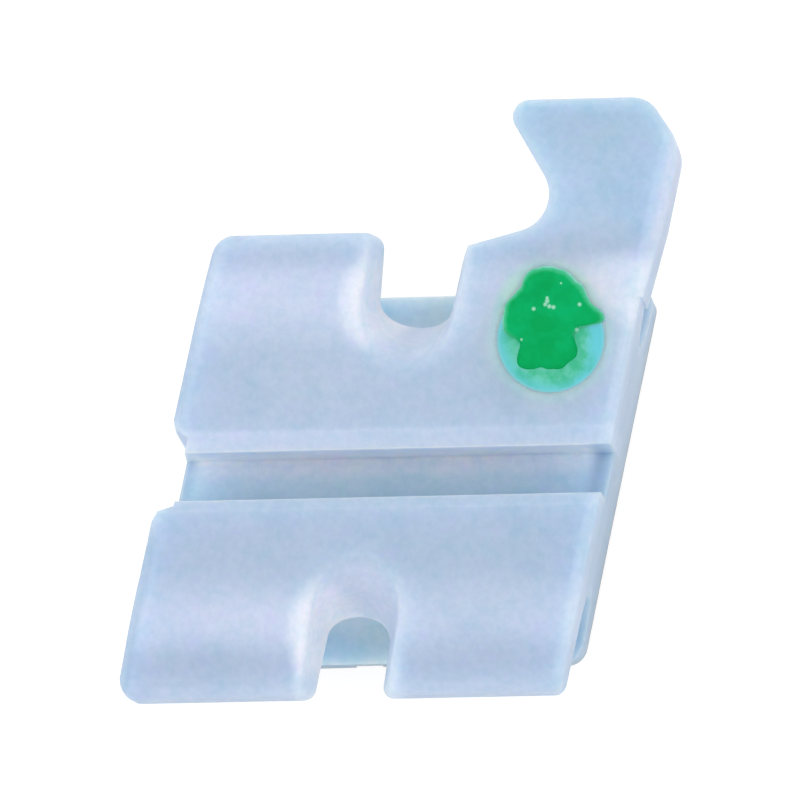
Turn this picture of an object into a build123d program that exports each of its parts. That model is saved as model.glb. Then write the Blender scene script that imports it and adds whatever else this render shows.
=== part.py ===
from build123d import *
import math
import os

# Twin ceramic bracket for an upper left canine, lying on its bonding base.
# +X runs along the archwire slot to the hook side, +Y towards the gum, +Z out of the tooth.
# The origin is under the middle of the bonding base, level with its lowest rim. Millimetres.

# Angles of the plan and of the sides, in degrees
tip_angle = 12.0
groove_angle = 9.7
side_draft = 3.0

# Heights above the base rim, and thickness of the wings and the hook
face_height = 2.10
flange_height = 0.55
wing_thickness = 0.75
tip_thickness = 0.67
hook_thickness = 0.82

# Plan of the base and reach of the tie wings, as half sizes from the middle
base_half_width = 2.03
base_half_height = 1.765
base_corner_gum = 0.12
base_corner_bite = 0.20
wing_reach = 2.22
mesial_ease = 0.05
undercut_depth = 1.03

# Section of a tie wing: a flat by the slot, then a crown that falls to the rounded tip
face_half_flat = 1.20
crown_drop = 0.14
tip_face_radius = 0.24
tip_back_radius = 0.14

# Rounded plan corners of the wings
corner_mesial_gum = 0.27
corner_mesial_bite = 0.18
corner_distal_bite = 0.15

# Archwire slot with bevelled mouth
slot_height = 0.46
slot_depth = 0.71
slot_offset = -0.12
slot_bevel_gum = 0.17
slot_bevel_bite = 0.11
slot_bevel_drop = 0.05

# Relief that cuts back the mesial side beside the slot, its plan taken above the face
relief_draft = 6.0
relief_inset = 0.155
relief_margin_gum = 0.16
relief_margin_bite = 0.09
relief_slope_gum = 0.11
relief_slope_bite = 0.05
relief_ease = 0.115
relief_ease_run = 0.30
relief_above_flange = 0.12

# Scooped middle groove that parts the wings, on the gum side and on the bite side
groove_scoop_gum = 0.42
groove_scoop_bite = 0.385
groove_notch_gum = 0.335
groove_notch_bite = 0.285
groove_arch_gum = 0.22
groove_arch_bite = 0.25
groove_start_gum = 0.76
groove_start_bite = 0.76
groove_shoulder_gum = 1.12
groove_shoulder_bite = 1.16
groove_end_gum = 1.36
groove_end_bite = 1.43
groove_shoulder_drop = 0.24
groove_flare_gum = 3.0
groove_flare_bite = 0.5
groove_shift_gum = -0.02
groove_shift_bite = -0.045

# Power hook on the distal gum wing
hook_top = 3.41
hook_face_start = 1.50
hook_face_slope = 3.5
hook_root_x = 0.77
hook_root_y = 2.00
hook_bend_x = 1.82
hook_bend_y = 2.27
hook_bend_radius = 0.40
hook_tip_x = 1.17
hook_tip_radius = 0.13
hook_shoulder_radius = 0.35
hook_shoulder_x = 2.51
hook_shoulder_y = 2.96
hook_crest_radius = 0.25
hook_bulge = 0.07

# Round dimple and the paint mark in it
dimple_x = 1.602
dimple_y = 1.117
dimple_radius = 0.52
dimple_depth = 0.28
paint_below_face = 0.06
paint_bead_radius = 0.45
paint_bead_height = 0.07
paint_bead_shift = 0.20

# Bonding face: curved both ways to fit the tooth, with grooves that hold the adhesive
tooth_radius_across = 7.5
tooth_radius_along = 24.0
bonding_hollow = 0.35
retention_rim = 0.26
retention_grooves = 8
retention_pitch = 0.36
retention_width = 0.18
retention_depth = 0.08
release_width = 0.26
release_depth = 0.12

# Small edge roundings, and how far the cutters run past what they cut
side_edge = 0.08
rim_edge = 0.10
overrun = 0.5
touching = 0.001

# A face is a side or a front when its direction has more than this share along X or along Z
side_share = 0.8
front_share = 0.5

wing_underside = face_height - wing_thickness
tip_underside = face_height - tip_thickness
hook_back = face_height - hook_thickness
tip_slope = math.tan(math.radians(tip_angle))
mesial_slope = tip_slope + mesial_ease / (2 * wing_reach)
draft_slope = math.tan(math.radians(side_draft)) * math.hypot(1, tip_slope)
mesial_draft_slope = math.tan(math.radians(side_draft)) * math.hypot(1, mesial_slope)
undercut_radius = (wing_underside - flange_height) / 2
undercut_middle = flange_height + undercut_radius
slot_floor = face_height - slot_depth
crown_run = wing_reach - face_half_flat
crown_radius = (crown_run**2 + crown_drop**2) / (2 * crown_drop)


def leaned(x, y):
    """A point moved along X with the tip of the sides."""
    return (x + y * tip_slope, y)


def mesial_side(y, height):
    """Point of the mesial side, which leans a little more than the distal side."""
    start = mesial_ease / 2 - base_half_width - height * mesial_draft_slope
    return (start + y * mesial_slope, y)


def distal_side(y, height):
    return leaned(base_half_width + height * draft_slope, y)


def side_plan(reach, height):
    """Plan of the drafted sides at a height, ended at a distance from the middle."""
    low = [mesial_side(-reach, height), distal_side(-reach, height)]
    return low + [distal_side(reach, height), mesial_side(reach, height)]


def rounded(points, radii):
    """Face through the points, each corner rounded by its radius. Zero keeps a corner sharp."""
    face = make_face(Polyline(*points, close=True))
    for point, radius in zip(points, radii):
        if radius > 0:
            face = fillet(face.vertices().sort_by_distance(point)[0], radius)
    return face


def crown_height(y):
    """Height of the crown of a wing at a distance from the middle."""
    return face_height - crown_radius + math.sqrt(crown_radius**2 - (y - face_half_flat) ** 2)


def section():
    """Section across the slot: base flange, undercuts, wings and face, without the slot."""
    centre = wing_reach - undercut_depth + undercut_radius
    crown_middle = face_half_flat + crown_run / 2
    tip_face = (wing_reach, face_height - crown_drop)
    tip_back = (wing_reach, tip_underside)
    foot = Polyline((0, 0), (base_half_height, 0), (base_half_height, flange_height), (centre, flange_height))
    undercut = ThreePointArc(
        (centre, flange_height),
        (centre - undercut_radius, undercut_middle),
        (centre, wing_underside),
    )
    tip = Polyline((centre, wing_underside), tip_back, tip_face)
    crown = ThreePointArc(
        tip_face,
        (crown_middle, crown_height(crown_middle)),
        (face_half_flat, face_height),
    )
    top = Polyline((face_half_flat, face_height), (0, face_height), (0, 0))
    half = make_face([foot, undercut, tip, crown, top])
    half = fillet(half.vertices().sort_by_distance(tip_face)[0], tip_face_radius)
    half = fillet(half.vertices().sort_by_distance(tip_back)[0], tip_back_radius)
    half = fillet(half.vertices().sort_by_distance((centre, wing_underside))[0], undercut_radius)
    return half + mirror(half, Plane.YZ)


def section_prism():
    reach = leaned(base_half_width, wing_reach)[0] + overrun
    return extrude(Plane.YZ * section(), amount=reach, both=True)


def base_layer():
    """Plan of the base, growing with its draft up to the middle of the undercut."""
    points = side_plan(base_half_height, 0)
    radii = [base_corner_bite, base_corner_bite, base_corner_gum, base_corner_gum]
    return extrude(rounded(points, radii), amount=undercut_middle, taper=-side_draft)


def wing_layer():
    """Plan of the wings, from the middle of the undercut up."""
    radii = [corner_mesial_bite, corner_distal_bite, 0, corner_mesial_gum]
    face = rounded(side_plan(wing_reach, undercut_middle), radii)
    height = face_height + overrun - undercut_middle
    return extrude(Pos(0, 0, undercut_middle) * face, amount=height, taper=-side_draft)


def wing_side_edges(solid):
    """Edges along which the sides of the wings meet their face."""
    sides = [face.edges() for face in solid.faces() if abs(face.normal_at().X) > side_share]
    fronts = [face.edges() for face in solid.faces() if face.normal_at().Z > front_share]
    side_edges = [edge for edges in sides for edge in edges]
    front_edges = [edge for edges in fronts for edge in edges]
    return [edge for edge in front_edges if any(edge.is_same(other) for other in side_edges)]


def groove_rim(solid, cutter):
    """Edges that a groove leaves in the face and the tips of the wings."""
    kinds = (GeomType.PLANE, GeomType.CYLINDER)
    faces = [face for face in solid.faces() if face.geom_type in kinds]
    faces = [face for face in faces if face.normal_at().Z > -front_share]
    edges = [edge for face in faces for edge in face.edges()]
    return [edge for edge in edges if cutter.distance_to(edge @ 0.5) < touching]


def wings(prism):
    """The four tie wings parted by the middle groove, without the tip that the hook takes over."""
    solid = prism & wing_layer()
    solid = fillet(wing_side_edges(solid), side_edge)
    for cutter in (gum_groove(), bite_groove()):
        solid -= cutter
        solid = fillet(groove_rim(solid, cutter), rim_edge)
    low, bend = hook_bay_edge()
    reach = leaned(base_half_width, hook_top)[0] + overrun
    corner = Pos(low[0], hook_face_start, 0) * Box(reach, reach, reach, align=Align.MIN)
    return solid - corner


def hook_bay_edge():
    """Line of the sweep from the groove to the bend of the hook, run on into the groove."""
    slope = (hook_bend_y - hook_root_y) / (hook_bend_x - hook_root_x)
    x = hook_root_x - groove_notch_gum
    return (x, hook_root_y - groove_notch_gum * slope), (hook_bend_x, hook_bend_y)


def hook():
    """The tip of the distal gum wing run up into a hook that curls back over the gum side."""
    low, bend = hook_bay_edge()
    half_width = base_half_width + hook_back * draft_slope
    points = [
        (low[0], face_half_flat),
        low,
        bend,
        (hook_tip_x, hook_top),
        (hook_shoulder_x, hook_top),
        leaned(half_width + hook_bulge, hook_shoulder_y),
        leaned(half_width + hook_bulge, wing_reach),
        leaned(half_width, face_half_flat),
    ]
    curl = [hook_bend_radius, hook_tip_radius, hook_crest_radius, hook_shoulder_radius]
    radii = [0, 0, *curl, hook_bend_radius, 0]
    height = face_height + overrun - hook_back
    solid = extrude(Pos(0, 0, hook_back) * rounded(points, radii), amount=height, taper=-side_draft)
    reach = leaned(base_half_width, hook_top)[0] + overrun
    block = Box(2 * reach, 2 * reach, face_height, align=(Align.CENTER, Align.CENTER, Align.MIN))
    start = crown_height(hook_face_start)
    solid -= Pos(0, hook_face_start, start) * Rot(-hook_face_slope, 0, 0) * block
    solid -= gum_groove()
    solid = fillet(solid.faces().sort_by(Axis.Z)[-1].edges(), side_edge)
    wing_side = Box(2 * reach, reach, 2 * reach, align=(Align.CENTER, Align.MAX, Align.CENTER))
    return solid - Pos(0, hook_face_start, 0) * wing_side


def slot():
    low, high = slot_offset - slot_height / 2, slot_offset + slot_height / 2
    bevel = face_height - slot_bevel_drop
    top = face_height + overrun
    points = [
        (low, slot_floor),
        (high, slot_floor),
        (high, bevel),
        (high + slot_bevel_gum, face_height),
        (high + slot_bevel_gum, top),
        (low - slot_bevel_bite, top),
        (low - slot_bevel_bite, face_height),
        (low, bevel),
    ]
    reach = leaned(base_half_width, wing_reach)[0] + overrun
    return extrude(Plane.YZ * make_face(Polyline(*points, close=True)), amount=reach, both=True)


def mesial_relief():
    """Slanted cut beside the mesial end of the slot, which runs out above the flange."""
    wall = relief_inset - base_half_width
    edge = -base_half_width - face_height * draft_slope
    low = slot_offset - slot_height / 2 - relief_margin_bite
    high = slot_offset + slot_height / 2 + relief_margin_gum
    lowest = low - relief_slope_bite - relief_ease_run
    highest = high + relief_slope_gum + relief_ease_run
    points = [
        leaned(wall, low),
        leaned(edge + relief_ease, low - relief_slope_bite),
        leaned(edge, lowest),
        leaned(edge - overrun, lowest),
        leaned(edge - overrun, highest),
        leaned(edge, highest),
        leaned(edge + relief_ease, high + relief_slope_gum),
        leaned(wall, high),
    ]
    plan = make_face(Polyline(*points, close=True))
    top = face_height + overrun
    depth = top - flange_height - relief_above_flange
    return extrude(Pos(0, 0, top) * plan, amount=depth, dir=(0, 0, -1), taper=relief_draft)


def groove(side, shift, flare, steps):
    """One end of the scooped middle groove: a round-ended cut that slides outward as it goes down."""
    cosine = math.cos(math.radians(groove_angle))
    far_run = (wing_reach + overrun - side * slot_offset) / cosine
    turn = -groove_angle if side > 0 else 180 - groove_angle
    pieces = []
    for half, arch, apex, height in steps:
        bend_run = (apex - side * slot_offset) / cosine + arch
        far_half = half + (far_run - bend_run) * math.tan(math.radians(flare))
        arc = EllipticalCenterArc((0, bend_run), half, arch, start_angle=180, arc_size=180)
        mouth = [(far_half, far_run), (-far_half, far_run)]
        walls = Polyline((half, bend_run), *mouth, (-half, bend_run))
        face = make_face([arc, walls])
        place = Pos(shift, 0, height) * Pos(*leaned(0, slot_offset)) * Rot(0, 0, turn)
        pieces.append(place * face)
    return loft(pieces)


def groove_steps(scoop, notch, arch, start, shoulder, end):
    """Half width, depth of the round end, distance of its apex and height, from the top down."""
    return [
        (scoop, scoop, 2 * start - shoulder, face_height + groove_shoulder_drop),
        (scoop, scoop, shoulder, face_height - groove_shoulder_drop),
        (notch, arch, end, wing_underside),
        (notch, arch, end + (end - shoulder) / 2, undercut_middle),
    ]


def gum_groove():
    widths = (groove_scoop_gum, groove_notch_gum, groove_arch_gum)
    steps = groove_steps(*widths, groove_start_gum, groove_shoulder_gum, groove_end_gum)
    return groove(1, groove_shift_gum, groove_flare_gum, steps)


def bite_groove():
    widths = (groove_scoop_bite, groove_notch_bite, groove_arch_bite)
    steps = groove_steps(*widths, groove_start_bite, groove_shoulder_bite, groove_end_bite)
    return groove(-1, groove_shift_bite, groove_flare_bite, steps)


def dimple():
    radius = (dimple_radius**2 + dimple_depth**2) / (2 * dimple_depth)
    return Pos(dimple_x, dimple_y, face_height - dimple_depth + radius) * Sphere(radius)


def tooth(growth=0):
    """Barrel-shaped tooth surface under the base, with its long axis leaning like the sides."""
    top = tooth_radius_across + growth
    bow = tooth_radius_along + growth
    reach = 2 * base_half_height
    fall = bow - math.sqrt(bow**2 - reach**2)
    arc = ThreePointArc((top - fall, -reach), (top, 0), (top - fall, reach))
    edge = Polyline((top - fall, reach), (0, reach), (0, -reach), (top - fall, -reach))
    barrel = revolve(make_face([arc, edge]), Axis.Y)
    return Pos(0, 0, bonding_hollow - tooth_radius_across) * Rot(0, 0, -tip_angle) * barrel


def retention():
    """Rows of grooves along X inside a plain rim, and one release groove along the tooth."""
    width = 4 * base_half_width
    rows = []
    for row in range(retention_grooves):
        y = (row - (retention_grooves - 1) / 2) * retention_pitch
        rows.append(Pos(0, y, 0) * Box(width, retention_width, flange_height * 2))
    half = base_half_width - retention_rim
    ends = [(-half, -half), (half, -half), (half, half), (-half, half)]
    corners = [leaned(x, y) for x, y in ends]
    inside = extrude(make_face(Polyline(*corners, close=True)), amount=flange_height)
    field = Part() + rows
    field = field & inside & tooth(retention_depth)
    slab = Rot(0, 0, -tip_angle) * Box(release_width, width, flange_height * 2)
    return field + (slab & tooth(release_depth))


def bracket_body():
    prism = section_prism()
    body = (prism & base_layer()) + wings(prism) + hook()
    body -= slot()
    body -= mesial_relief()
    body -= dimple()
    body -= tooth()
    body -= retention()
    return body


def orientation_dot(body):
    """Paint that fills most of the dimple and stands in a low bead over its gum side."""
    level = face_height - paint_below_face
    fill = Cylinder(dimple_radius, dimple_depth, align=(Align.CENTER, Align.CENTER, Align.MAX))
    fill = Pos(dimple_x, dimple_y, level) * fill
    radius = (paint_bead_radius**2 + paint_bead_height**2) / (2 * paint_bead_height)
    bead = Pos(0, 0, face_height + paint_bead_height - radius) * Sphere(radius)
    bead = Pos(dimple_x, dimple_y + paint_bead_shift, 0) * bead
    trim = Cylinder(dimple_radius, 2 * dimple_depth)
    bead &= Pos(dimple_x, dimple_y + paint_bead_shift, face_height) * trim
    return (fill + bead) - body


body = bracket_body()
parts = {"bracket_body": body, "orientation_dot": orientation_dot(body)}
os.makedirs("parts", exist_ok=True)
for name, shape in parts.items():
    export_step(shape, f"parts/{name}.step")
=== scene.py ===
import math
from types import SimpleNamespace

import bpy
import bmesh
from mathutils import Matrix, Vector, noise


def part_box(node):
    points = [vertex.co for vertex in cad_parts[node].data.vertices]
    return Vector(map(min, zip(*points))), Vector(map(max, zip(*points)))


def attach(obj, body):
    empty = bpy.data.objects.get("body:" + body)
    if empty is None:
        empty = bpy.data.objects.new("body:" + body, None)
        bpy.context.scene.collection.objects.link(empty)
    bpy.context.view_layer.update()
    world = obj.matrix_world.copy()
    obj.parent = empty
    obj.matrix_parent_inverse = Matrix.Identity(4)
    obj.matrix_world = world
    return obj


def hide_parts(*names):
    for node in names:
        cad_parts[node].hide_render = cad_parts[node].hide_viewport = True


# Orthodontic bracket of translucent ceramic, seen from the front of the tooth on plain white.
# Sizes and places are in millimetres, and MM turns them into the scene's metres.
# X runs from the mesial to the distal side, Y from the bite to the gum, Z out of the tooth.
MM = 0.001

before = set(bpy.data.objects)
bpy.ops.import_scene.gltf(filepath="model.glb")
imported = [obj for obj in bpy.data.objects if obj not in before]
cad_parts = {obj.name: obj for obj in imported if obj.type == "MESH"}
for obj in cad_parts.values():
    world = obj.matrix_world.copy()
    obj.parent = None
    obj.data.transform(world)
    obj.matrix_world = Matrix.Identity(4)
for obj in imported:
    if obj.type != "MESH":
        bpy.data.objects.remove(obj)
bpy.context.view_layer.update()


def arc_radius(half_width, drop):
    """Radius of the arc that falls by drop over half_width."""
    return (half_width**2 + drop**2) / (2 * drop)


# Sizes of the bracket, from the boxes of its two parts where those show them
body_low, body_high = (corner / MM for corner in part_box("bracket_body"))
dot_low, dot_high = (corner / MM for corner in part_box("orientation_dot"))
FACE = body_high.z
FACE_HALF_FLAT = 1.20
CROWN_DROP = 0.14
CROWN_RADIUS = arc_radius(-body_low.y - FACE_HALF_FLAT, CROWN_DROP)
PLAN_LEAN = math.radians(12.0)
SLOT_MIDDLE = -0.12
SLOT_WIDTH = 0.46
GROOVE_LEAN = math.radians(9.7)
GROOVE_SHIFT = -0.026
DIMPLE_MIDDLE = ((dot_low.x + dot_high.x) / 2, 1.117)
DIMPLE_RADIUS = 0.52
DIMPLE_FLOOR = dot_low.z
DIMPLE_BOWL = arc_radius(DIMPLE_RADIUS, FACE - DIMPLE_FLOOR)

# Soft patches of gathered light: middle, half sizes and strength
GLOWS = [
    ((-0.60, -1.64), (0.38, 0.55), 0.85),
    ((-0.12, 1.50), (0.36, 0.48), 0.85),
    ((2.30, 1.58), (0.62, 0.40), 0.50),
]

# Film of thin paint in the dimple: its level rises to the brim, and its edge is tucked into the ceramic
FILM_RADIUS = 0.535
FILM_LEVEL = 2.035
FILM_BRIM = 0.515
FILM_RISE = 0.050
FILM_RIPPLE = 0.004
SKIN_RISE = 0.030
SKIN_TUCK = 0.012
EDGE_TUCK = 0.020

# Thick blob of paint over the gum side of the dimple
BLOB_MIDDLE = (1.556, 1.282)
BLOB_OUTLINE = [  # degrees round the middle of the blob, and reach
    (0, 0.55), (28, 0.45), (90, 0.51), (106, 0.49), (128, 0.39), (185, 0.41), (216, 0.31),
    (238, 0.50), (264, 0.44), (280, 0.46), (308, 0.43), (336, 0.29), (350, 0.32), (360, 0.55),
]
BLOB_SPREAD = 1.03
BLOB_GUM_SPREAD = 0.03
BLOB_RAGGED = 0.035
BLOB_THICKNESS = 0.052
BLOB_LUMPS = 0.018
BLOB_FINE_LUMPS = 0.006
BLOB_TUCK = 0.002
UNDERSIDE_SINK = 0.030
PAINTED_GLINTS = [  # painted highlights on the lumps: place and radius of each
    (1.57, 1.51, 0.022), (1.57, 1.48, 0.030), (1.55, 1.45, 0.026), (1.59, 1.43, 0.028), (1.63, 1.42, 0.028),
    (1.44, 1.41, 0.026), (1.88, 1.44, 0.026), (1.85, 1.20, 0.026), (1.32, 1.12, 0.018), (1.71, 1.64, 0.014),
]

# Camera: long lens, a little towards the hook's side and the bite side, turned a touch
YAW, PITCH, ROLL = math.radians(7.35), math.radians(7.59), math.radians(0.33)
PIXELS_PER_MM = 105.1
PICTURE = 800
SEEN_HEIGHT = 1.4  # height of the point on the Z axis that the photograph shows at COLUMN, ROW
COLUMN, ROW = 393.07, 468.83
CAMERA_AWAY = 160
SENSOR = 36.0

# Floor just under the rim of the base, and the key lamp from the gum side, a little to the left
FLOOR_SIZE = 600
FLOOR_DROP = 0.02
KEY_PLACE = (-60, 90, 140)
KEY_SIZE = 120
KEY_WATTS = 0.02

WHITE = (1.0, 1.0, 1.0, 1.0)


def srgb(r, g, b):
    """A colour given as 0-255 display values, turned into linear light."""
    values = []
    for value in (r, g, b):
        c = value / 255
        values.append(c / 12.92 if c <= 0.04045 else ((c + 0.055) / 1.055) ** 2.4)
    return (*values, 1.0)


class Nodes:
    """Short way to write the node tree of a material or a world."""

    def __init__(self, owner):
        owner.use_nodes = True
        self.tree = owner.node_tree
        self.tree.nodes.clear()

    def add(self, kind, **inputs):
        """New node, its inputs given by name with _ for a space, or as i and their number."""
        node = self.tree.nodes.new(kind)
        for key, value in inputs.items():
            self.set(node, key, value)
        return node

    def set(self, node, key, value):
        by_number = key[0] == "i" and key[1:].isdigit()
        socket = node.inputs[int(key[1:])] if by_number else node.inputs[key.replace("_", " ")]
        if isinstance(value, bpy.types.NodeSocket):
            self.tree.links.new(value, socket)
        else:
            socket.default_value = value

    def math(self, operation, a, b=0.0, clamp=False):
        node = self.add("ShaderNodeMath", i0=a, i1=b)
        node.operation = operation
        node.use_clamp = clamp
        return node.outputs[0]

    def product(self, first, *others):
        for other in others:
            first = self.math("MULTIPLY", first, other)
        return first

    def away(self, value, middle):
        """How far a value is from a middle, on either side."""
        return self.math("ABSOLUTE", self.math("SUBTRACT", value, middle))

    def squared_gap(self, spot, middle, sizes=(1.0, 1.0)):
        """Square of the distance in plan from a middle, each axis measured in its own size."""
        parts = []
        for axis, centre, size in zip((spot.x, spot.y), middle, sizes):
            share = self.math("DIVIDE", self.math("SUBTRACT", axis, centre), size)
            parts.append(self.math("POWER", share, 2.0))
        return self.math("ADD", *parts)

    def gap(self, spot, middle):
        return self.math("SQRT", self.squared_gap(spot, middle))

    def step(self, value, start, end):
        """Smooth step: 0 at start and before it, 1 at end and past it."""
        node = self.add("ShaderNodeMapRange", i0=value, i1=start, i2=end)
        node.interpolation_type = "SMOOTHSTEP"
        return node.outputs[0]

    def ramp(self, value, stops):
        """Eased colour ramp through (place, display colour) stops."""
        node = self.add("ShaderNodeValToRGB", i0=value)
        ramp = node.color_ramp
        ramp.interpolation = "EASE"
        while len(ramp.elements) < len(stops):
            ramp.elements.new(0.5)
        for element, (place, shade) in zip(ramp.elements, stops):
            element.position = place
            element.color = srgb(*shade)
        return node.outputs[0]

    def mix(self, factor, a, b, blend="MIX"):
        node = self.tree.nodes.new("ShaderNodeMix")
        node.data_type = "RGBA"
        node.blend_type = blend
        self.set(node, "i0", factor)
        self.set(node, "i6", a)
        self.set(node, "i7", b)
        return node.outputs[2]

    def noise(self, spot, scale, detail, roughness):
        texture = self.add("ShaderNodeTexNoise", Vector=spot.place, Scale=scale, Detail=detail)
        texture.inputs["Roughness"].default_value = roughness
        return texture.outputs[0]

    def edge_share(self):
        """Share of the way from the middle of a puddle to its edge."""
        node = self.tree.nodes.new("ShaderNodeAttribute")
        node.attribute_name = "edge"
        return node.outputs["Fac"]

    def spot(self):
        """The shaded point: its plain place, and that place in millimetres."""
        place = self.add("ShaderNodeTexCoord").outputs["Object"]
        split = self.add("ShaderNodeSeparateXYZ", Vector=place).outputs
        x, y, z = (self.math("MULTIPLY", axis, 1 / MM) for axis in split)
        return SimpleNamespace(place=place, x=x, y=y, z=z)


def wing_tone_and_painted_light(n, spot):
    """Plateau by the slot, the hook lighter at its root and darker towards its end, painted light in pale
    strips over the undercuts and on the slot's gum-side edge, painted shade at the wing ends and towards the
    distal side.
    """
    gum_side = n.step(spot.y, -0.3, 0.3)
    band_out = n.math("SUBTRACT", spot.out, n.product(gum_side, 0.12))
    # painted shade at the wing ends
    shaded_tips = n.step(spot.out, 1.60, 1.95)
    # painted light in pale strips over the undercuts
    lit_bands = n.product(n.step(spot.out, 0.95, 1.50), n.step(band_out, 1.94, 1.54))
    hook_root = n.step(spot.y, 1.95, 2.40)
    hook_end = n.step(spot.y, 2.60, 3.40)
    # painted light on the slot's gum-side edge
    lit_lip = n.product(n.step(spot.y, 0.34, 0.26), n.step(spot.y, -0.05, 0.08))
    # painted shade towards the distal side
    shaded_distal_side = n.product(n.step(spot.x, -1.2, 1.8), 0.35)

    tone = n.mix(gum_side, srgb(185, 202, 222), srgb(190, 206, 225))
    tone = n.mix(shaded_tips, tone, srgb(186, 200, 219))
    tone = n.mix(lit_bands, tone, srgb(208, 218, 235))
    tone = n.mix(hook_root, tone, srgb(192, 214, 233))
    tone = n.mix(hook_end, tone, srgb(179, 202, 218))
    tone = n.mix(lit_lip, tone, srgb(203, 214, 234))
    return n.mix(shaded_distal_side, tone, srgb(176, 199, 219))


def rim_painted_highlights(n, spot, tone):
    """Painted highlights on the rounded rims, dimmer on the mesial side, along the distal edge and on the
    side of the hook, and painted shade on the mesial wall.
    """
    # painted highlight on the rounded rims
    rim = n.product(n.step(spot.facing[2], 0.94, 0.70), n.step(spot.z, 1.45, 1.70))
    # painted highlight along the distal edge
    highlight_line = n.product(n.step(n.away(spot.lean, 2.06), 0.06, 0.02), n.step(spot.z, 1.85, 1.95))
    # colour of the painted highlights, dimmer on the mesial side
    rim_highlight_colour = n.mix(n.step(spot.lean, -1.7, -1.9), srgb(212, 223, 240), srgb(178, 194, 216))
    beside_slot = n.step(n.away(spot.y, SLOT_MIDDLE), 0.40, 0.65)
    # painted shade on the mesial side wall
    shaded_mesial_wall = n.product(n.step(spot.lean, -1.98, -2.08), beside_slot, 0.6)
    # painted highlight on the side of the hook
    hook_side_highlight = n.product(n.step(spot.lean, 2.06, 2.14), n.step(spot.y, 1.75, 2.15), 0.8)

    tone = n.mix(n.product(n.math("MAXIMUM", rim, highlight_line), 0.22), tone, rim_highlight_colour)
    tone = n.mix(shaded_mesial_wall, tone, srgb(160, 178, 200))
    return n.mix(hook_side_highlight, tone, srgb(202, 209, 227))


def groove_painted_light(n, spot, tone):
    """Painted light: the groove's hollow lightened near the tone of the wings, its mesial wall lit up, and
    the soft glows.
    """
    inside = n.step(n.math("ABSOLUTE", spot.across), 0.60, 0.40)
    # painted light that lifts the groove's hollow out of its shade
    lit_scoop = n.product(inside, n.step(spot.out, 0.80, 1.05), n.step(spot.z, 2.11, 1.98))
    distal_facing = n.step(spot.facing[0], 0.15, 0.6)
    wall_run = n.product(n.step(spot.out, 1.1, 1.45), n.step(spot.out, 2.2, 1.75))
    # painted light on the mesial wall of the groove
    lit_wall = n.product(distal_facing, inside, n.step(spot.z, 0.95, 1.3), wall_run)
    outward = n.product(n.step(spot.z, 0.95, 1.4), n.step(spot.facing[2], 0.0, 0.5))

    tone = n.mix(lit_scoop, tone, srgb(207, 219, 235))
    tone = n.mix(lit_wall, tone, srgb(241, 243, 249))
    # painted glows of gathered light
    for middle, sizes, strength in GLOWS:
        near = n.step(n.squared_gap(spot, middle, sizes), 1.15, 0.1)
        tone = n.mix(n.product(near, outward, strength), tone, srgb(238, 240, 247))
    return tone


def slot_painted_light(n, spot, tone):
    """Painted light that lifts the slot out of its shade: milky by the gum wall, sinking to teal by the bite
    wall, with painted shade at both ends.
    """
    in_width = n.step(n.away(spot.y, SLOT_MIDDLE), 0.245, 0.225)
    below_mouth = n.step(spot.z, 2.09, 2.04)
    gum_wall = n.step(spot.facing[1], -0.4, -0.8)
    # painted shade at both ends of the slot
    ends = n.step(n.math("ABSOLUTE", spot.lean), 1.84, 2.0)
    bite_wall = SLOT_MIDDLE - SLOT_WIDTH / 2
    across_slot = n.math("DIVIDE", n.math("SUBTRACT", spot.y, bite_wall), SLOT_WIDTH)

    # painted light on the slot's floor, least near the bite wall
    slot_floor_painted_light = n.ramp(across_slot, [
        (0.0, (216, 232, 244)),
        (0.22, (200, 225, 240)),
        (0.45, (208, 230, 244)),
        (0.85, (236, 243, 253)),
        (1.0, (250, 252, 255)),
    ])
    # painted light on the gum wall of the slot
    gum_wall_painted_light = n.mix(n.step(spot.z, 2.06, 1.55), srgb(206, 217, 235), srgb(252, 252, 254))
    shade = n.mix(gum_wall, slot_floor_painted_light, gum_wall_painted_light)
    shade = n.mix(ends, shade, srgb(178, 198, 218))
    return n.mix(n.product(in_width, below_mouth), tone, shade)


def flange_tone_and_painted_light(n, spot, tone):
    """Base and its flange: painted light, teal, where it shows through the groove, near the tone of the
    walls elsewhere and darker towards the bite side.
    """
    under_groove = n.step(n.math("ABSOLUTE", spot.across), 1.1, 0.6)
    # painted light on the base where it shows through the groove
    lit_behind_groove = n.product(under_groove, n.step(spot.facing[2], 0.3, 0.7))
    around = n.mix(n.step(spot.y, -1.0, 1.0), srgb(174, 195, 215), srgb(190, 207, 225))
    return n.mix(n.step(spot.z, 0.95, 0.75), tone, n.mix(lit_behind_groove, around, srgb(206, 228, 249)))


def stain_and_light_tone(n, spot, tone):
    """Stain of the paint in the ceramic, made pale as painted light against the darkening beside the paint:
    cyan round the dimple, greener round the blob.
    """
    # painted light: the stain is made pale against the darkening beside the paint
    on_face = n.product(n.step(spot.z, 1.9, 2.0), 0.8)
    for middle, end, start, shade in (
        (DIMPLE_MIDDLE, 0.66, 0.51, (186, 230, 240)),
        ((1.56, 1.40), 0.54, 0.40, (188, 232, 226)),
    ):
        near = n.step(n.gap(spot, middle), end, start)
        tone = n.mix(n.product(near, on_face), tone, srgb(*shade))
    return tone


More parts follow.
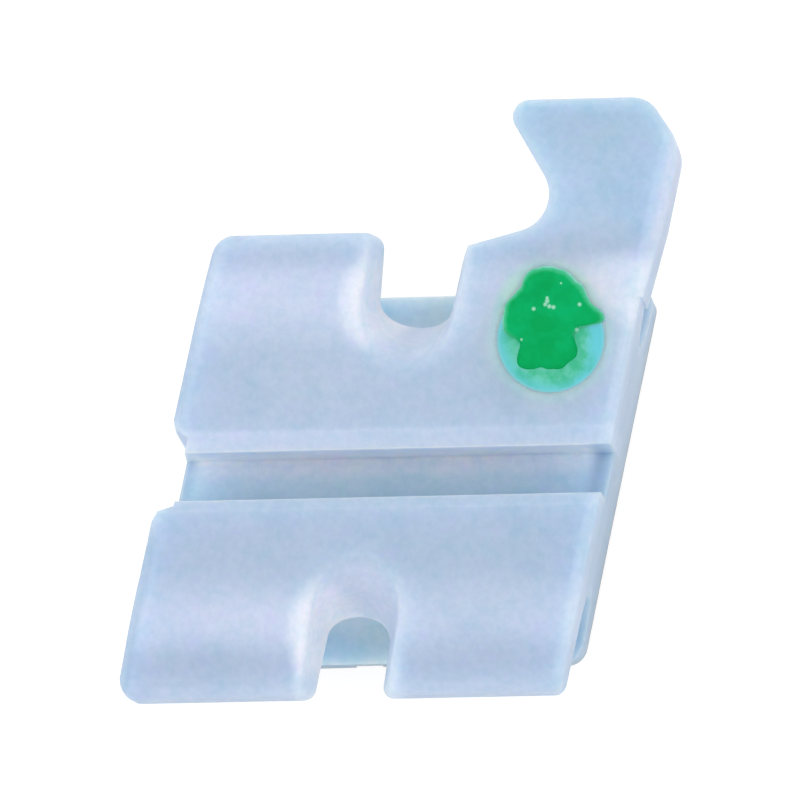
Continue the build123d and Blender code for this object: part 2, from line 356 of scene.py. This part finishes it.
def ceramic():
    """Milky alumina: tones with painted light and shade that follow how light gathers in it, with mottle,
    cloud and fine grain.
    """
    material = bpy.data.materials.new("ceramic")
    n = Nodes(material)
    spot = n.spot()
    normal = n.add("ShaderNodeTexCoord").outputs["Normal"]
    spot.facing = n.add("ShaderNodeSeparateXYZ", Vector=normal).outputs
    spot.out = n.math("ABSOLUTE", spot.y)
    spot.lean = n.math("SUBTRACT", spot.x, n.math("MULTIPLY", spot.y, math.tan(PLAN_LEAN)))
    from_slot = n.math("SUBTRACT", spot.y, SLOT_MIDDLE)
    groove_middle = n.math("ADD", n.math("MULTIPLY", from_slot, math.tan(GROOVE_LEAN)), GROOVE_SHIFT)
    spot.across = n.math("SUBTRACT", spot.x, groove_middle)

    colour = wing_tone_and_painted_light(n, spot)
    for zone in (rim_painted_highlights, groove_painted_light, slot_painted_light, flange_tone_and_painted_light, stain_and_light_tone):
        colour = zone(n, spot, colour)

    mottle = n.noise(spot, 5200.0, 4.0, 0.7)
    cloud = n.noise(spot, 1100.0, 5.0, 0.62)
    grain = n.noise(spot, 14000.0, 3.0, 0.6)
    for pattern, stops in (
        (mottle, [(0.32, (242, 250, 250)), (0.52, (252, 252, 252)), (0.68, (255, 250, 255))]),
        (cloud, [(0.30, (240, 246, 250)), (0.50, (252, 252, 253)), (0.70, (255, 253, 255))]),
        (grain, [(0.35, (247, 249, 251)), (0.65, (255, 255, 255))]),
    ):
        colour = n.mix(1.0, colour, n.ramp(pattern, stops), "MULTIPLY")

    soft_edge = n.add("ShaderNodeBevel", Radius=0.05 * MM)
    soft_edge.samples = 4
    soft_normal = soft_edge.outputs[0]
    bump = n.add("ShaderNodeBump", Strength=0.08, Distance=0.01 * MM, Height=grain, Normal=soft_normal)
    surface = n.add("ShaderNodeBsdfPrincipled", Base_Color=colour, Normal=bump.outputs[0])
    surface.inputs["Roughness"].default_value = 0.42
    surface.inputs["IOR"].default_value = 1.5
    surface.inputs["Specular IOR Level"].default_value = 0.35
    surface.inputs["Subsurface Weight"].default_value = 1.0
    surface.inputs["Subsurface Scale"].default_value = 1.0 * MM
    surface.inputs["Subsurface Radius"].default_value = (0.35, 0.45, 0.6)
    n.add("ShaderNodeOutputMaterial", Surface=surface.outputs[0])
    return material


def paint_surface(n, colour, pattern, strength, depth, specular):
    """Half glossy skin of paint, bumped by a pattern."""
    bump = n.add("ShaderNodeBump", Strength=strength, Distance=depth * MM, Height=pattern)
    surface = n.add("ShaderNodeBsdfPrincipled", Base_Color=colour, Normal=bump.outputs[0])
    surface.inputs["Roughness"].default_value = 0.35
    surface.inputs["Specular IOR Level"].default_value = specular
    n.add("ShaderNodeOutputMaterial", Surface=surface.outputs[0])


def green_paint():
    """Thick green paint, pale and thin at its gum edge, with painted highlights dotted over its lumps."""
    material = bpy.data.materials.new("green_paint")
    n = Nodes(material)
    spot = n.spot()
    cloud = n.noise(spot, 3500.0, 4.0, 0.6)
    wander = n.math("MULTIPLY", n.math("SUBTRACT", cloud, 0.5), 0.16)
    edge = n.math("ADD", n.edge_share(), wander)
    gum_side = n.step(spot.y, 1.10, 1.30)
    painted_glints = 0.0
    for x, y, radius in PAINTED_GLINTS:
        painted_glints = n.math("ADD", painted_glints, n.step(n.gap(spot, (x, y)), radius, 0.3 * radius), clamp=True)

    colour = n.ramp(cloud, [(0.35, (0, 160, 84)), (0.65, (2, 172, 100))])
    colour = n.mix(n.product(n.step(edge, 0.86, 0.97), gum_side), colour, srgb(70, 190, 140))
    colour = n.mix(n.product(n.step(edge, 0.95, 1.01), gum_side), colour, srgb(150, 212, 200))
    # painted highlights on the lumps of paint
    colour = n.mix(n.product(painted_glints, 0.85), colour, srgb(160, 220, 196))
    paint_surface(n, colour, cloud, 0.5, 0.02, 0.05)
    return material


def film_paint():
    """Thin paint settled in the dimple: sea green by the blob, cyan towards the rim."""
    material = bpy.data.materials.new("film_paint")
    n = Nodes(material)
    spot = n.spot()
    cloud = n.noise(spot, 4200.0, 4.0, 0.6)
    wander = n.math("MULTIPLY", n.math("SUBTRACT", cloud, 0.5), 0.30)
    edge = n.edge_share()
    past_blob = n.step(n.math("ADD", n.gap(spot, (1.50, 1.08)), wander), 0.40, 0.54)
    near_rim = n.step(n.math("ADD", edge, wander), 0.66, 0.98)

    colour = n.ramp(cloud, [(0.38, (58, 182, 140)), (0.60, (98, 198, 172))])
    colour = n.mix(n.math("MAXIMUM", past_blob, n.product(near_rim, 0.8)), colour, srgb(100, 200, 214))
    colour = n.mix(n.step(edge, 0.88, 1.0), colour, srgb(150, 208, 224))
    paint_surface(n, colour, cloud, 0.3, 0.01, 0.2)
    return material


def floor_board():
    """White to the eye all over but for a faint soft shadow, and a plain pale board to the object."""
    material = bpy.data.materials.new("floor")
    n = Nodes(material)
    place = n.add("ShaderNodeTexCoord").outputs["Object"]
    cloud = n.add("ShaderNodeTexNoise", Vector=place, Scale=300.0, Detail=2.0).outputs[0]
    pale = n.ramp(cloud, [(0.4, (238, 240, 242)), (0.6, (240, 241, 243))])
    board = n.add("ShaderNodeBsdfDiffuse", Color=pale)
    glow = n.add("ShaderNodeEmission", Color=WHITE, Strength=0.82)
    dim = n.add("ShaderNodeBsdfDiffuse", Color=(0.3, 0.3, 0.3, 1.0))
    seen = n.add("ShaderNodeAddShader", i0=dim.outputs[0], i1=glow.outputs[0])
    to_camera = n.add("ShaderNodeLightPath").outputs["Is Camera Ray"]
    surface = n.add("ShaderNodeMixShader", i0=to_camera, i1=board.outputs[0], i2=seen.outputs[0])
    n.add("ShaderNodeOutputMaterial", Surface=surface.outputs[0])
    return material


def ceramic_height(x, y):
    """Height of the ceramic under the paint: the crowned wing, and the bowl of the dimple in it."""
    fall = max(abs(y) - FACE_HALF_FLAT, 0)
    crown = FACE - CROWN_RADIUS + math.sqrt(CROWN_RADIUS**2 - fall**2)
    gap = math.hypot(x - DIMPLE_MIDDLE[0], y - DIMPLE_MIDDLE[1])
    if gap >= DIMPLE_BOWL:
        return crown
    return min(crown, DIMPLE_FLOOR + DIMPLE_BOWL - math.sqrt(DIMPLE_BOWL**2 - gap**2))


def film_level(x, y):
    """Level of the film, drawn up at the wall of the dimple."""
    gap = math.hypot(x - DIMPLE_MIDDLE[0], y - DIMPLE_MIDDLE[1]) / FILM_BRIM
    return FILM_LEVEL + FILM_RISE * min(gap, 1) ** 6


def film_height(x, y, share):
    """Film over the bowl of the dimple, carried to its rim as a thin skin that ends in the ceramic."""
    ripple = FILM_RIPPLE * noise.noise((x * 9.0, y * 9.0, 2.2)) * (1 - share)
    skin = SKIN_RISE * (1 - share**16) - SKIN_TUCK
    height = max(film_level(x, y) + ripple, ceramic_height(x, y) + skin)
    return height - EDGE_TUCK if share == 1 else height


def blob_height(x, y, share):
    """Flat lumpy bead over the film and the wing, rounded down at its edge."""
    ground = max(ceramic_height(x, y), film_level(x, y)) - BLOB_TUCK
    lumps = BLOB_LUMPS * noise.noise((x * 5.0, y * 5.0, 0.3))
    lumps += BLOB_FINE_LUMPS * noise.noise((x * 19.0, y * 19.0, 4.1))
    return ground + (BLOB_THICKNESS + lumps) * (1 - share**9)


def film_reach(angle):
    return FILM_RADIUS


def blob_reach(angle):
    """Outline of the blob, eased from each point of BLOB_OUTLINE to the next and a little ragged."""
    turn = math.degrees(angle)
    for (before, near), (after, far) in zip(BLOB_OUTLINE[:-1], BLOB_OUTLINE[1:]):
        if before <= turn <= after:
            share = (turn - before) / (after - before)
            eased = near + (far - near) * share**2 * (3 - 2 * share)
    ragged = noise.noise((6.0 * math.cos(angle), 6.0 * math.sin(angle), 1.7))
    return eased * (BLOB_SPREAD + BLOB_RAGGED * ragged + BLOB_GUM_SPREAD * math.sin(angle))


def skin_grid(bm, middle, reach, height, rings, spokes):
    """Rows of points from the middle outwards, each with its share of the way to the edge."""
    edge = bm.verts.layers.float["edge"]
    grid = []
    for ring in range(rings + 1):
        share = ring / rings
        row = []
        for spoke in range(spokes if ring else 1):
            angle = math.tau * spoke / spokes
            x = middle[0] + reach(angle) * share * math.cos(angle)
            y = middle[1] + reach(angle) * share * math.sin(angle)
            vert = bm.verts.new((x * MM, y * MM, height(x, y, share) * MM))
            vert[edge] = share
            row.append(vert)
        grid.append(row)
    return grid


def skin_faces(bm, grid, upward):
    """Faces between the rows of a grid, a fan of triangles at its middle."""
    for inner, outer in zip(grid[:-1], grid[1:]):
        for spoke, start in enumerate(outer):
            after = (spoke + 1) % len(outer)
            if len(inner) == 1:
                corners = [inner[0], start, outer[after]]
            else:
                corners = [inner[spoke], start, outer[after], inner[after]]
            bm.faces.new(corners if upward else corners[::-1])


def puddle(name, middle, reach, height, rings, spokes):
    """Closed skin of paint: height(x, y, share) gives its top, and its underside is sunk in the ceramic."""

    def underside(x, y, share):
        return ceramic_height(x, y) - UNDERSIDE_SINK

    bm = bmesh.new()
    bm.verts.layers.float.new("edge")
    top = skin_grid(bm, middle, reach, height, rings, spokes)
    bottom = skin_grid(bm, middle, reach, underside, rings, spokes)
    skin_faces(bm, top, True)
    skin_faces(bm, bottom, False)
    upper, lower = top[-1], bottom[-1]
    for spoke in range(spokes):
        after = (spoke + 1) % spokes
        bm.faces.new([upper[spoke], lower[spoke], lower[after], upper[after]])
    mesh = bpy.data.meshes.new(name)
    bm.to_mesh(mesh)
    bm.free()
    mesh.shade_smooth()
    piece = bpy.data.objects.new(name, mesh)
    bpy.context.scene.collection.objects.link(piece)
    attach(piece, "root")
    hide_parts("orientation_dot")
    return piece


def put(obj, material):
    obj.data.materials.clear()
    obj.data.materials.append(material)


def studio():
    """Even pale studio light, white where the camera sees it."""
    world = bpy.data.worlds.new("studio")
    bpy.context.scene.world = world
    n = Nodes(world)
    soft = n.add("ShaderNodeBackground", Color=WHITE, Strength=1.05)
    white = n.add("ShaderNodeBackground", Color=WHITE, Strength=1.0)
    to_camera = n.add("ShaderNodeLightPath").outputs["Is Camera Ray"]
    pick = n.add("ShaderNodeMixShader", i0=to_camera, i1=soft.outputs[0], i2=white.outputs[0])
    n.add("ShaderNodeOutputWorld", Surface=pick.outputs[0])


def key_lamp():
    """Soft round lamp that looks at the bracket."""
    lamp = bpy.data.lights.new("key", "AREA")
    lamp.shape = "DISK"
    lamp.size = KEY_SIZE * MM
    lamp.energy = KEY_WATTS
    key = bpy.data.objects.new("key", lamp)
    bpy.context.scene.collection.objects.link(key)
    key.location = Vector(KEY_PLACE) * MM
    key.rotation_euler = (-key.location).to_track_quat("-Z", "Y").to_euler()


def camera():
    """Camera turned by YAW, PITCH and ROLL, set so that the picture shows its point at COLUMN, ROW."""
    right = Vector((math.cos(YAW), 0, -math.sin(YAW)))
    up = Vector((math.sin(YAW) * math.sin(PITCH), math.cos(PITCH), math.cos(YAW) * math.sin(PITCH)))
    back = right.cross(up)
    shown_right = right * math.cos(ROLL) - up * math.sin(ROLL)
    shown_up = right * math.sin(ROLL) + up * math.cos(ROLL)
    target = Vector((0, 0, SEEN_HEIGHT))
    target += shown_right * (PICTURE / 2 - COLUMN) / PIXELS_PER_MM
    target += shown_up * (ROW - PICTURE / 2) / PIXELS_PER_MM
    data = bpy.data.cameras.new("camera")
    data.sensor_width = SENSOR
    data.lens = SENSOR * CAMERA_AWAY / (PICTURE / PIXELS_PER_MM)
    data.clip_start = 0.01
    data.clip_end = 10.0
    obj = bpy.data.objects.new("camera", data)
    bpy.context.scene.collection.objects.link(obj)
    turn = Matrix((shown_right, shown_up, back)).transposed().to_4x4()
    obj.matrix_world = Matrix.Translation((target + back * CAMERA_AWAY) * MM) @ turn
    bpy.context.scene.camera = obj


# The bracket keeps its CAD mesh, and two skins of paint stand for the orientation dot
put(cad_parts["bracket_body"], ceramic())
put(puddle("paint_blob", BLOB_MIDDLE, blob_reach, blob_height, 30, 120), green_paint())
put(puddle("paint_film", DIMPLE_MIDDLE, film_reach, film_height, 40, 96), film_paint())

bpy.ops.mesh.primitive_plane_add(size=FLOOR_SIZE * MM, location=(0, 0, -FLOOR_DROP * MM))
floor = bpy.context.object
floor.name = "floor"
put(floor, floor_board())

studio()
key_lamp()
camera()
bpy.context.scene.view_settings.view_transform = "Standard"
